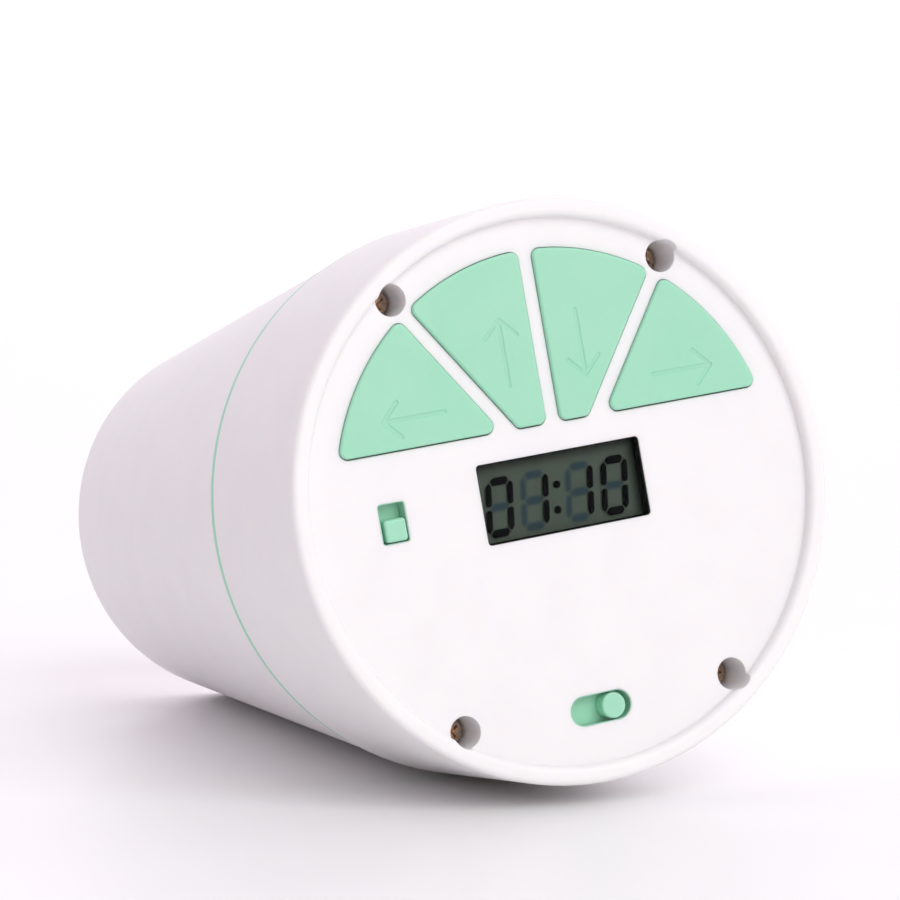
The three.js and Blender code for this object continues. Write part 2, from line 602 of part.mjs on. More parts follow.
function makePower() {
  makeCell("left", -1);
  makeCell("right", 1);
  makeBatteryDoor("left", -1);
  makeBatteryDoor("right", 1);
  const boardEnd = BOARD_BACK_Z - 0.7;
  const motorLead = (sign) => [
    [sign * 2, 11.6, -16],
    [sign * 2, 9, -16.5],
    [sign * 3, 6, -16],
    [sign * 4, 4, boardEnd],
  ];
  makeLead("motor_lead_red", motorLead(1), RED_RUBBER);
  makeLead("motor_lead_black", motorLead(-1), BLACK_RUBBER);
  const cellLead = (sign) => [
    [sign * (CELL.x - 0.2), -23, -14.1],
    [sign * (CELL.x - 2), -22.6, -13.7],
    [sign * 19.4, -21, -13.8],
    [sign * 12, -10, -14.4],
    [sign * 9, -6, boardEnd],
  ];
  makeLead("cell_lead_left", cellLead(-1), RED_RUBBER);
  makeLead("cell_lead_right", cellLead(1), BLACK_RUBBER);
}

// ---- drum ----

const MOUTH = { innerR: 41, depth: 9 }; // straight land that the cover plugs into
const TAPER = Math.atan((DRUM_MOUTH_R - DRUM_END_R) / (TOTAL_LENGTH + SHELL_Z));

function drumOuterRadius(z) {
  return DRUM_MOUTH_R + (z - SHELL_Z) * Math.tan(TAPER);
}

function drumEndOutline() {
  const outline = rounded(
    [
      [DRUM_MOUTH_R, SHELL_Z],
      [DRUM_END_R, -TOTAL_LENGTH, DRUM_END_ROUNDING],
      [0, -TOTAL_LENGTH],
    ],
    3,
  );
  return outline.map((point) => [point.x, point.y]);
}

// Frame of the outlet on the drum wall: x across, y along the wall away from the head, z outwards.
function outletFrame() {
  const radial = new THREE.Vector3(Math.cos(-ROLL), Math.sin(-ROLL), 0);
  const rearward = new THREE.Vector3(0, 0, -1);
  const out = radial.clone().multiplyScalar(Math.cos(TAPER)).addScaledVector(rearward, Math.sin(TAPER));
  const along = rearward.clone().multiplyScalar(Math.cos(TAPER)).addScaledVector(radial, -Math.sin(TAPER));
  const across = new THREE.Vector3().crossVectors(along, out);
  const frame = new THREE.Matrix4().makeBasis(across, along, out);
  frame.setPosition(radial.multiplyScalar(DRUM_MOUTH_R).setZ(SHELL_Z));
  return frame;
}

const RAIL = { start: 6, end: 80, lip: 6.9, half: 10.5, floor: 1, ceiling: 2.5, top: 3.2 };
const SHUTTER = { half: 8, bottom: 1.3, top: 2.2, grip: 3.6, gripHalf: 5, gripWidth: 1.6 };

function makeDrumShell() {
  const innerEnd = -TOTAL_LENGTH + DRUM_WALL;
  const mouthEnd = SHELL_Z - MOUTH.depth;
  const inner = (z) => drumOuterRadius(z) - DRUM_WALL / Math.cos(TAPER);
  const outside = turned([[0, SHELL_Z], ...drumEndOutline()]);
  const inside = turned([
    [0, SHELL_Z + 1],
    [MOUTH.innerR, SHELL_Z + 1],
    [MOUTH.innerR, mouthEnd],
    [inner(mouthEnd), mouthEnd],
    [inner(innerEnd), innerEnd],
    [0, innerEnd],
  ]);
  const frame = outletFrame();
  const guide = box([-RAIL.half, RAIL.half], [RAIL.start, RAIL.end], [-3, RAIL.top], frame);
  const through = [RAIL.start - 1, RAIL.end + 1];
  const grooveHalf = SHUTTER.half + GAP;
  const sunk = box([-grooveHalf, grooveHalf], through, [RAIL.floor, RAIL.ceiling], frame);
  const slit = box([-RAIL.lip, RAIL.lip], through, [RAIL.ceiling - 0.1, RAIL.top + 1], frame);
  const half = OUTLET.width / 2;
  const slotY = [OUTLET.start, OUTLET.start + OUTLET.length];
  const slot = box([-half, half], slotY, [-12, RAIL.top + 1], frame);
  piece("drum_shell", cut(join(outside, guide), inside, sunk, slit, slot), WHITE_PLASTIC);

  const from = OUTLET.start + OUTLET.shutterOpen;
  const to = from + OUTLET.shutterLength;
  const plate = box([-SHUTTER.half, SHUTTER.half], [from, to], [SHUTTER.bottom, SHUTTER.top], frame);
  const grips = [to - 5, to - 2.2].map((start) => {
    const gripX = [-SHUTTER.gripHalf, SHUTTER.gripHalf];
    return box(gripX, [start, start + SHUTTER.gripWidth], [SHUTTER.top - 0.2, SHUTTER.grip], frame);
  });
  piece("outlet_shutter", join(plate, ...grips), MINT_PLASTIC);
}

function makeDrumCover() {
  const flangeEnd = DRUM_COVER_Z - SEAM_RING;
  const plateEnd = flangeEnd - 0.6;
  const skirtEnd = -44.5;
  const groove = { top: -40.9, bottom: -42.7, radius: 39.3 };
  const body = turned([
    [0, DRUM_COVER_Z],
    [SEAM_R, DRUM_COVER_Z],
    [SEAM_R, flangeEnd],
    [MOUTH.innerR - 0.4, flangeEnd],
    [MOUTH.innerR - 0.4, groove.top],
    [groove.radius, groove.top],
    [groove.radius, groove.bottom],
    [MOUTH.innerR - 0.4, groove.bottom],
    [MOUTH.innerR - 0.4, skirtEnd],
    [38, skirtEnd],
    [38, plateEnd],
    [0, plateEnd],
  ]);
  const cup = cylinder(10, plateEnd + 0.5, -43.4, { sides: 32 });
  const socket = cylinder(5.6, -43, -51, { sides: 24 });
  const cupHole = cylinder(8.4, DRUM_COVER_Z + 1, SPIGOT_END_Z - 0.5, { sides: 32 });
  const hexHole = cylinder(SHAFT_R + 0.15, -41, -49.6, { sides: 6 });
  piece("drum_cover", cut(join(body, cup, socket), cupHole, hexHole), MINT_PLASTIC);

  const seal = { inner: groove.radius + GAP, outer: MOUTH.innerR - GAP, top: groove.top - GAP };
  const ring = disc(seal.outer, seal.top, groove.bottom + GAP);
  const hole = disc(seal.inner, 0, -60);
  piece("drum_seal", cut(ring, hole), BLACK_RUBBER);
}

// ---- assembly ----

makeFrontHousing();
makeRearCover();
makeHousingScrews();
Object.keys(keyPlaces).forEach(makeKey);
makeSideSwitch();
makeLowerSwitch();
makeDisplay();
makeBoard();
makeDrive();
makePower();
makeDrumCover();
makeDrumShell();

// Laid on its side, it rests on the collar's rear edge and the drum's far end.
const [, contact] = drumEndOutline();
const tilt = Math.atan((COLLAR_R - contact[0]) / (-contact[1] - HEAD_LENGTH));
device.rotation.z = ROLL;
const laid = new THREE.Group();
laid.rotation.x = Math.PI / 2 - tilt;
laid.add(device);

const feeder = new THREE.Group();
feeder.add(laid);
feeder.updateMatrixWorld(true);
const span = new THREE.Box3().setFromObject(feeder, true);
const middle = span.getCenter(new THREE.Vector3());
laid.position.set(-middle.x, -middle.y, -span.min.z);

export default feeder;
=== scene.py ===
"""Looks of an automatic fish feeder: a control head with arrow keys and a clock display,
and a tapered food drum that the head turns. The feeder lies on its side on a pale floor.

Pieces are made in the device frame, in millimetres, and then placed in the row frame in metres.
Device frame: the origin is the centre of the rim, +Z points out of the control face, +X is to the
right of the face and +Y is up the face.
"""

import json
import math

import bmesh
import bpy
from mathutils import Matrix, Vector


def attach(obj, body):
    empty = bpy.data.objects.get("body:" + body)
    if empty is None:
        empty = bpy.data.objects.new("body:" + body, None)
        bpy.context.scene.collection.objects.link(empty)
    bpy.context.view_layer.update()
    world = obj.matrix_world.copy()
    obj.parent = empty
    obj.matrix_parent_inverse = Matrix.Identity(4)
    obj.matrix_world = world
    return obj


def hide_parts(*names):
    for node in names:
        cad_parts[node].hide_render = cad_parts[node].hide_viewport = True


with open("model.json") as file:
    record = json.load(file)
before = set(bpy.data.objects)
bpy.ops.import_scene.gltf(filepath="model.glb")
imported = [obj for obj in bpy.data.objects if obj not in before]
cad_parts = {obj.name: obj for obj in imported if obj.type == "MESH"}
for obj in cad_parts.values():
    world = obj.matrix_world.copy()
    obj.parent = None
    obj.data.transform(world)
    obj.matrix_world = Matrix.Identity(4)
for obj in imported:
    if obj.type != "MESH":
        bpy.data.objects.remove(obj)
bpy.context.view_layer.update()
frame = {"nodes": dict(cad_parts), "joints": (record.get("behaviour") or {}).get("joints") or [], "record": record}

MM = 0.001
SMOOTH_ANGLE = 30

# ---- head, mm ----
COLLAR_R = 44
RIM_INNER_R = 41.2
RIM_OUTER_ROUND = 1
RIM_INNER_ROUND = 1.0
SKIRT_INNER_R = 41.4
HEAD_LENGTH = 35.6
FACE_Z = -1.9
FACE_BACK_Z = -4.1
GAP = 0.3
LATHE_SIDES = 240

KEY_OUTER_R = 36.5
KEY_BOTTOM_Y = 10.4
KEY_HALF_GAP = 1.2
KEY_SPOKE = math.radians(55)
KEY_CORNER = 1.2
KEY_TOP_Z = -1.2
KEY_BEVEL = 0.38
KEY_DRAFT = 0.03
KEY_CLEARANCE = 0.17
KEY_LIP = 0.05
KEY_HOLE_SHIFT = (0.08, -0.04)
KEY_FLANGE = {"margin": 0.85, "top": -4.4, "bottom": -5.2}
HOLE_LIP = 0.2

WINDOW = {"width": 27.25, "height": 12.1, "corner": 0.6}
WELL = {"x": 22.5, "y": 32.3, "radius": 2.45, "tube": 3.2, "seat_z": -9.4, "end_z": -11.4}
WELL_SIGNS = ((-1, 1), (1, 1), (1, -1), (-1, -1))
SIDE_SWITCH = {"x": -28, "y": 0, "width": 4.4, "height": 6.1}
LOWER_SWITCH = {"x": -0.1, "y": -33.1, "width": 10.2, "height": 4.6}

# ---- drum, mm ----
DRUM_MOUTH_R = 43.6
DRUM_END_R = 33.3
DRUM_END_Z = -145.5
DRUM_WALL = 2
DRUM_END_ROUND = 1.5
COVER_Z = -35.75
SEAM_RING = 1.4
SEAM_R = 43.8
SHELL_Z = -37.2
MOUTH_R = 41
MOUTH_DEPTH = 9
TAPER = math.atan((DRUM_MOUTH_R - DRUM_END_R) / (SHELL_Z - DRUM_END_Z))
ROLL = math.radians(8.36)
RAIL = {"start": 6, "end": 80, "half": 10.5, "root": -1.9, "groove": 8.3, "lip": 6.9, "floor": 1, "top": 3.2}
OUTLET = {"start": 22, "length": 24, "half": 5.5}
SHUTTER = {"start": 34, "end": 64, "half": 8, "bottom": 1.3, "top": 2.2, "grip_top": 3.6}

# ---- display, mm ----
SEGMENT_Z = -4.5
SEGMENT_THICKNESS = 0.04
REFLECTOR_Z = -4.9
DIGIT_CENTRES = (-9.68, -3.77, 3.77, 9.68)
DIGITS_SHOWN = "0110"
DIGIT_Y = -0.74
DIGIT_HEIGHT = 8.9
DIGIT_PITCH_X = 3.57
DIGIT_SLANT = 0.14
STROKE_SIDE = 0.97
STROKE_LEVEL = 1.2
STROKE_GAP = 0.2
STROKE_CHAMFER = 1.25
COLON_DOTS = ((0.17, 1.0), (-0.36, -2.79))
COLON_R = 0.58
SEGMENTS_OF = {"0": "abcdef", "1": "bc"}


# ---- frame of the device ----


def joint_axis(name):
    joint = next(j for j in frame["joints"] if j["name"] == name)
    return Vector(joint["axis"]).normalized()


def device_matrix():
    """The matrix that takes device millimetres to row-frame metres."""
    x, y, z = -joint_axis("lower_switch_slide"), joint_axis("side_switch_slide"), joint_axis("drum_spin")
    rim = next(m for m in frame["record"]["mounts"] if m["name"] == "rim")
    rim_middle_r = 42.3 * MM
    origin = Vector(rim["pos_m"]) - y * rim_middle_r
    axes = Matrix((x, y, z)).transposed().to_4x4()
    return Matrix.Translation(origin) @ axes @ Matrix.Scale(MM, 4)


DEVICE = device_matrix()


def outlet_matrix():
    """The drum wall at the outlet: x across, y along the wall away from the head, z outwards."""
    radial = Vector((math.cos(-ROLL), math.sin(-ROLL), 0))
    out = radial * math.cos(TAPER) - Vector((0, 0, math.sin(TAPER)))
    along = -radial * math.sin(TAPER) - Vector((0, 0, math.cos(TAPER)))
    axes = Matrix((along.cross(out), along, out)).transposed().to_4x4()
    return Matrix.Translation(radial * DRUM_MOUTH_R + Vector((0, 0, SHELL_Z))) @ axes


OUTLET_FRAME = outlet_matrix()


# ---- outlines, as lists of (x, y) points that run anticlockwise ----


def arc(centre, radius, start, end, steps):
    turn = (end - start) / steps
    return [
        (
            centre[0] + radius * math.cos(start + k * turn),
            centre[1] + radius * math.sin(start + k * turn),
        )
        for k in range(steps + 1)
    ]


def circle(centre, radius, steps=48):
    return arc(centre, radius, 0, 2 * math.pi, steps)[:-1]


def rounded_rectangle(centre, width, height, corner, steps=8):
    x, y = width / 2 - corner, height / 2 - corner
    points = []
    for quarter, (sx, sy) in enumerate(((1, 1), (-1, 1), (-1, -1), (1, -1))):
        start = quarter * math.pi / 2
        middle = (centre[0] + sx * x, centre[1] + sy * y)
        points += arc(middle, corner, start, start + math.pi / 2, steps)
    return points


def rounded_outline(corners, steps=10):
    """An outline of (x, y, rounding) corners, with each rounded corner as an arc."""
    points = []
    for i, (x, y, radius) in enumerate(corners):
        corner = Vector((x, y))
        if not radius:
            points.append((x, y))
            continue
        back = (Vector(corners[i - 1][:2]) - corner).normalized()
        ahead = (Vector(corners[(i + 1) % len(corners)][:2]) - corner).normalized()
        half = back.angle(ahead) / 2
        centre = corner + (back + ahead).normalized() * radius / math.sin(half)
        start = corner + back * radius / math.tan(half) - centre
        end = corner + ahead * radius / math.tan(half) - centre
        sweep = math.atan2(start.x * end.y - start.y * end.x, start.dot(end))
        for k in range(steps + 1):
            point = centre + Matrix.Rotation(sweep * k / steps, 2) @ start
            points.append((point.x, point.y))
    return points


def key_outline(place):
    """The outline of one arrow key. Keys right of centre are mirrored."""
    spoke = math.pi - KEY_SPOKE
    slip = math.asin(KEY_HALF_GAP / KEY_OUTER_R)
    shift = KEY_HALF_GAP / math.sin(KEY_SPOKE)
    at_bottom = -KEY_BOTTOM_Y / math.tan(KEY_SPOKE)
    side = place in ("left", "right")
    start = spoke + slip if side else math.pi / 2 + slip
    end = math.pi - math.asin(KEY_BOTTOM_Y / KEY_OUTER_R) if side else spoke - slip
    corner_span = 1.6 * KEY_CORNER / KEY_OUTER_R
    first, last = arc((0, 0), KEY_OUTER_R, start, end, 1)
    outer = arc((0, 0), KEY_OUTER_R, start + corner_span, end - corner_span, 24)
    corners = [(*first, KEY_CORNER), *[(x, y, 0) for x, y in outer], (*last, KEY_CORNER)]
    if side:
        corners.append((at_bottom - shift, KEY_BOTTOM_Y, KEY_CORNER))
    else:
        corners.append((at_bottom + shift, KEY_BOTTOM_Y, KEY_CORNER))
        corners.append((-KEY_HALF_GAP, KEY_BOTTOM_Y, KEY_CORNER))
    if place in ("right", "down"):
        corners = [(-x, y, r) for x, y, r in reversed(corners)]
    return rounded_outline(corners)


def grown(points, margin):
    """An anticlockwise outline with each point moved outwards, so that its edges move by margin."""
    moved = []
    for before, here, after in zip(points[-1:] + points[:-1], points, points[1:] + points[:1]):
        sides = []
        for start, end in ((before, here), (here, after)):
            length = math.hypot(end[0] - start[0], end[1] - start[1])
            sides.append(Vector(((end[1] - start[1]) / length, (start[0] - end[0]) / length)))
        out = (sides[0] + sides[1]) / (1 + sides[0].dot(sides[1]))
        moved.append((here[0] + margin * out.x, here[1] + margin * out.y))
    return moved


def circle_of(centre, radius):
    return lambda margin=0: circle(centre, radius + margin)


def rectangle_of(centre, width, height, corner):
    def outline(margin=0):
        grown = max(corner + margin, 0.02)
        return rounded_rectangle(centre, width + 2 * margin, height + 2 * margin, grown)

    return outline


def key_of(place):
    outline = key_outline(place)
    return lambda margin=0: grown(outline, margin)


def key_hole_of(place):
    """The hole of one arrow key. The key sits a little to the upper left in it."""
    outline = [(x + KEY_HOLE_SHIFT[0], y + KEY_HOLE_SHIFT[1]) for x, y in key_outline(place)]
    return lambda margin=0: grown(outline, margin + KEY_CLEARANCE)


# ---- solids ----


def new_solid(name, points, faces, matrix=None):
    mesh = bpy.data.meshes.new(name)
    mesh.from_pydata(points, [], faces)
    bm = bmesh.new()
    bm.from_mesh(mesh)
    bmesh.ops.remove_doubles(bm, verts=bm.verts, dist=1e-5)
    bmesh.ops.recalc_face_normals(bm, faces=bm.faces)
    bm.to_mesh(mesh)
    bm.free()
    if matrix:
        mesh.transform(matrix)
    solid = bpy.data.objects.new(name, mesh)
    bpy.context.scene.collection.objects.link(solid)
    return solid


def loft(name, outline, levels, matrix=None):
    """A solid through the outline grown by each level's margin, at each level's height."""
    rings = [[(x, y, z) for x, y in outline(margin)] for margin, z in levels]
    count = len(rings[0])
    faces = [list(range(count)), list(range(len(rings) * count - count, len(rings) * count))]
    for level in range(len(rings) - 1):
        low, high = level * count, (level + 1) * count
        for k in range(count):
            after = (k + 1) % count
            faces.append([low + k, low + after, high + after, high + k])
    return new_solid(name, [p for ring in rings for p in ring], faces, matrix)


def lathe(name, profile, sides=LATHE_SIDES):
    """A solid of revolution about Z, from a (radius, height) profile that starts and ends on the axis,
    or from a closed one that stays clear of it."""
    closed = profile[0][0] > 0
    points, rings = [], []
    for radius, height in profile:
        count = sides if radius > 0 else 1
        rings.append(range(len(points), len(points) + count))
        for k in range(count):
            angle = 2 * math.pi * k / sides
            points.append((radius * math.cos(angle), radius * math.sin(angle), height))
    faces = []
    pairs = list(zip(rings, rings[1:])) + ([(rings[-1], rings[0])] if closed else [])
    for low, high in pairs:
        for k in range(sides):
            after = (k + 1) % sides
            corners = [low[k % len(low)], low[after % len(low)], high[after % len(high)], high[k % len(high)]]
            faces.append(list(dict.fromkeys(corners)))
    return new_solid(name, points, faces)


def fillet(radius, top, steps=6):
    """Levels of a rounded upper edge, from the side up to the flat top."""
    levels = []
    for k in range(steps + 1):
        angle = math.pi / 2 * k / steps
        levels.append((-radius * (1 - math.cos(angle)), top - radius * (1 - math.sin(angle))))
    return levels


def combine(target, tools, operation):
    """Adds or cuts tools that stay clear of each other, all at once."""
    tool = group("tools", tools)
    modifier = target.modifiers.new("combine", "BOOLEAN")
    modifier.operation = operation
    modifier.solver = "EXACT"
    modifier.object = tool
    apply_modifiers(target)
    bpy.data.objects.remove(tool)
    return target


def apply_modifiers(target):
    bpy.context.view_layer.update()
    shape = target.evaluated_get(bpy.context.evaluated_depsgraph_get())
    mesh = bpy.data.meshes.new_from_object(shape)
    target.modifiers.clear()
    target.data = mesh


def group(name, solids):
    """One object that holds several solids."""
    bm = bmesh.new()
    for solid in solids:
        bm.from_mesh(solid.data)
        bpy.data.objects.remove(solid)
    mesh = bpy.data.meshes.new(name)
    bm.to_mesh(mesh)
    bm.free()
    held = bpy.data.objects.new(name, mesh)
    bpy.context.scene.collection.objects.link(held)
    return held


def cut(target, *tools):
    return combine(target, tools, "DIFFERENCE")


def join(target, *tools):
    return combine(target, tools, "UNION")


def hole(outline, lip=HOLE_LIP, top=FACE_Z, bottom=FACE_BACK_Z - 1):
    """A cutter for a hole with a rounded upper lip. The outline's margin 0 is the hole's own edge."""
    above, skim, steps = 0.5, 0.002, 5
    levels = [(lip, top + above)]
    for k in range(steps + 1):
        angle = math.pi / 2 * k / steps
        levels.append((lip * (1 - math.sin(angle)), top - skim - lip * (1 - math.cos(angle))))
    levels.append((0, bottom))
    return loft("hole", outline, levels)


def finish_piece(piece, name, body, material, replaced=()):
    """Places a device-frame piece in the row frame, shades it and gives it to its body."""
    piece.name = name
    mesh = piece.data
    mesh.name = name
    mesh.transform(DEVICE)
    bm = bmesh.new()
    bm.from_mesh(mesh)
    bmesh.ops.dissolve_degenerate(bm, edges=bm.edges, dist=1e-7)
    bm.to_mesh(mesh)
    bm.free()
    mesh.shade_smooth()
    mesh.set_sharp_from_angle(angle=math.radians(SMOOTH_ANGLE))
    weighted = piece.modifiers.new("weighted", "WEIGHTED_NORMAL")
    weighted.keep_sharp = True
    weighted.weight = 100
    apply_modifiers(piece)
    piece.data.materials.clear()
    piece.data.materials.append(MATERIALS[material])
    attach(piece, body)
    if replaced:
        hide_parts(*replaced)
    return piece


# ---- materials ----


class Shader:
    """A material's node tree, built around one Principled shader."""

    def __init__(self, name, color, roughness, metallic=0.0, **sockets):
        self.material = bpy.data.materials.new(name)
        self.material.use_nodes = True
        self.tree = self.material.node_tree
        self.principled = self.tree.nodes["Principled BSDF"]
        self.place = self.tree.nodes.new("ShaderNodeTexCoord").outputs["Object"]
        self.color = color
        self.roughness = roughness
        self.set("Base Color", (*color, 1))
        self.set("Roughness", roughness)
        self.set("Metallic", metallic)
        for socket, value in sockets.items():
            self.set(socket.replace("_", " "), value)

    def set(self, socket, value):
        self.principled.inputs[socket].default_value = value

    def node(self, kind, **inputs):
        made = self.tree.nodes.new(kind)
        for key, value in inputs.items():
            if isinstance(value, bpy.types.NodeSocket):
                self.tree.links.new(value, made.inputs[key.replace("_", " ")])
            else:
                made.inputs[key.replace("_", " ")].default_value = value
        return made

    def noise(self, size_mm, detail=3.0, stretch=(1, 1, 1)):
        scaled = self.tree.nodes.new("ShaderNodeMapping")
        scaled.inputs["Scale"].default_value = stretch
        self.tree.links.new(self.place, scaled.inputs["Vector"])
        made = self.node("ShaderNodeTexNoise", Scale=1 / (size_mm * MM), Detail=detail)
        self.tree.links.new(scaled.outputs[0], made.inputs["Vector"])
        return made.outputs["Fac"]

    def spread(self, value, low, high, start=0.3, end=0.7):
        """value from start to end, mapped to low to high."""
        made = self.tree.nodes.new("ShaderNodeMapRange")
        made.inputs["From Min"].default_value = start
        made.inputs["From Max"].default_value = end
        made.inputs["To Min"].default_value = low
        made.inputs["To Max"].default_value = high
        self.tree.links.new(value, made.inputs["Value"])
        return made.outputs["Result"]

    def vary_color(self, value, other, low=0.0, high=1.0, start=0.3, end=0.7):
        """Mixes the base colour towards another colour where value is high."""
        mix = self.tree.nodes.new("ShaderNodeMix")
        mix.data_type = "RGBA"
        source = self.principled.inputs["Base Color"]
        if source.is_linked:
            self.tree.links.new(source.links[0].from_socket, mix.inputs[6])
        else:
            mix.inputs[6].default_value = (*self.color, 1)
        mix.inputs[7].default_value = (*other, 1)
        self.tree.links.new(self.spread(value, low, high, start, end), mix.inputs[0])
        self.tree.links.new(mix.outputs[2], source)

    def vary_roughness(self, value, low, high):
        self.tree.links.new(self.spread(value, low, high), self.principled.inputs["Roughness"])

    def bump(self, value, height_mm, strength=1.0):
        """Adds a bump of that height, over any bump that is there."""
        made = self.tree.nodes.new("ShaderNodeBump")
        made.inputs["Distance"].default_value = height_mm * MM
        made.inputs["Strength"].default_value = strength
        self.tree.links.new(value, made.inputs["Height"])
        source = self.principled.inputs["Normal"]
        if source.is_linked:
            self.tree.links.new(source.links[0].from_socket, made.inputs["Normal"])
        self.tree.links.new(made.outputs["Normal"], source)

    def edges(self):
        """High on worn outer edges."""
        return self.tree.nodes.new("ShaderNodeNewGeometry").outputs["Pointiness"]


def moulded(name, color, roughness, grain_mm, grain_height_mm, tint, glow=(1, 1, 1), **sockets):
    """Moulded plastic: fine spark-eroded grain, slow ripples, patchy gloss and patches of a slightly different tint.
    """
    shader = Shader(name, color, roughness, **sockets)
    shader.set("Subsurface Radius", glow)
    shader.set("Subsurface Scale", 1.2 * MM)
    patches = shader.noise(9)
    grain = shader.noise(grain_mm, detail=2)
    shader.vary_color(patches, tint, 0, 0.5)
    shader.vary_roughness(shader.noise(2.5), roughness - 0.05, roughness + 0.07)
    shader.bump(shader.noise(14, detail=1), 0.03, 0.4)
    shader.bump(grain, grain_height_mm, 0.6)
    return shader.material


def metal(name, color, roughness, stretch=(1, 1, 1)):
    """Machined or drawn metal: fine lines, darker patches and bright edges."""
    shader = Shader(name, color, roughness, 1.0)
    lines = shader.noise(0.12, detail=2, stretch=stretch)
    shader.vary_color(shader.noise(1.2), tuple(c * 0.55 for c in color), 0, 0.6)
    shader.vary_color(shader.edges(), tuple(min(1, c * 1.35) for c in color), 0, 0.8, 0.52, 0.6)
    shader.vary_roughness(shader.noise(0.6), roughness - 0.08, roughness + 0.14)
    shader.bump(lines, 0.006, 0.5)
    return shader.material


def circuit_board():
    """Green solder mask with copper runs that show through it."""
    shader = Shader("circuit_board", (0.012, 0.12, 0.045), 0.32)
    brick = shader.node("ShaderNodeTexBrick", Scale=1 / (9 * MM))
    shader.tree.links.new(shader.place, brick.inputs["Vector"])
    brick.inputs["Mortar Size"].default_value = 0.04
    shader.vary_color(brick.outputs["Fac"], (0.05, 0.24, 0.09), 0, 1, 0, 1)
    shader.vary_color(shader.noise(4), (0.01, 0.09, 0.04), 0, 0.5)
    shader.vary_roughness(shader.noise(1.5), 0.26, 0.42)
    shader.bump(brick.outputs["Fac"], 0.03, 0.5)
    return shader.material


def clear_plastic():
    """Thin clear acrylic with an anti-glare finish and faint smears. It shows what is behind it."""
    shader = Shader("clear_window", (0.86, 0.9, 0.89), 0.06)
    tree = shader.tree
    gloss = shader.node("ShaderNodeBsdfGlossy", Roughness=0.05, Color=(0.07, 0.075, 0.08, 1))
    tree.links.new(shader.spread(shader.noise(5), 0.03, 0.1), gloss.inputs["Roughness"])
    clear = shader.node("ShaderNodeBsdfTransparent", Color=(0.97, 0.985, 0.98, 1))
    mirror = shader.node("ShaderNodeFresnel", IOR=1.49)
    mix = shader.node("ShaderNodeMixShader")
    tree.links.new(mirror.outputs[0], mix.inputs[0])
    tree.links.new(clear.outputs[0], mix.inputs[1])
    tree.links.new(gloss.outputs[0], mix.inputs[2])
    tree.links.new(mix.outputs[0], tree.nodes["Material Output"].inputs["Surface"])
    return shader.material


def display_ink():
    """Near-black liquid-crystal strokes, with a faint bluish mottle."""
    shader = Shader("display_ink", (0.0012, 0.0014, 0.002), 0.7, Specular_IOR_Level=0.02)
    shader.vary_color(shader.noise(0.2), (0.003, 0.004, 0.006), 0, 0.8)
    shader.vary_roughness(shader.noise(0.3), 0.6, 0.8)
    return shader.material


def display_back():
    """Grey-green reflector of a segment display. The attribute ghost makes it bluer behind each segment, and the
    attribute shade is a painted shadow: it darkens the reflector towards the window's upper, right and left edges,
    where the window's edges shade it."""
    shader = Shader("lcd_glass", (0.13, 0.165, 0.132), 0.5, Specular_IOR_Level=0.05)
    shader.vary_color(shader.noise(0.16, detail=2), (0.155, 0.188, 0.152), 0, 0.7)
    # The shade colour is a painted shadow of the window's edges on the display.
    for attribute, dark in (("ghost", (0.036, 0.078, 0.105)), ("shade", (0.018, 0.016, 0.012))):
        source = shader.tree.nodes.new("ShaderNodeAttribute")
        source.attribute_name = attribute
        shader.vary_color(source.outputs["Fac"], dark, 0, 1, 0, 1)
    shader.vary_roughness(shader.noise(0.5), 0.42, 0.58)
    shader.bump(shader.noise(0.12), 0.004, 0.5)
    return shader.material


def make_materials():
    white = (0.9, 0.885, 0.895)
    mint = (0.375, 0.725, 0.54)
    return {
        "white_plastic": moulded(
            "white_plastic", white, 0.42, 0.16, 0.006, (0.86, 0.84, 0.86), (1, 0.93, 0.8), Subsurface_Weight=0.5
        ),
        "mint_plastic": moulded(
            "mint_plastic", mint, 0.4, 0.14, 0.006, (0.31, 0.7, 0.5), (0.4, 1, 0.7), Subsurface_Weight=0.4
        ),
        "black_plastic": moulded("black_plastic", (0.018, 0.018, 0.02), 0.45, 0.2, 0.01, (0.03, 0.03, 0.03)),
        "black_rubber": moulded("black_rubber", (0.022, 0.022, 0.022), 0.7, 0.12, 0.012, (0.04, 0.04, 0.04)),
        "red_insulation": moulded("red_insulation", (0.42, 0.02, 0.015), 0.5, 0.3, 0.008, (0.3, 0.02, 0.02)),
        "natural_plastic": moulded("natural_plastic", (0.76, 0.73, 0.64), 0.48, 0.2, 0.006, (0.7, 0.66, 0.56)),
        "circuit_board": circuit_board(),
        "screw_steel": metal("screw_steel", (0.62, 0.47, 0.34), 0.26),
        "motor_can": metal("motor_can", (0.58, 0.58, 0.59), 0.32, (1, 8, 8)),
        "cell_wrap": metal("cell_wrap", (0.03, 0.2, 0.14), 0.3, (8, 1, 8)),
        "brass": metal("brass", (0.62, 0.42, 0.14), 0.28),
        "clear_window": clear_plastic(),
        "lcd_glass": display_back(),
        "display_ink": display_ink(),
    }


MATERIALS = make_materials()


# ---- control head ----


def well_places():
    return [(sx * WELL["x"], sy * WELL["y"]) for sx, sy in WELL_SIGNS]


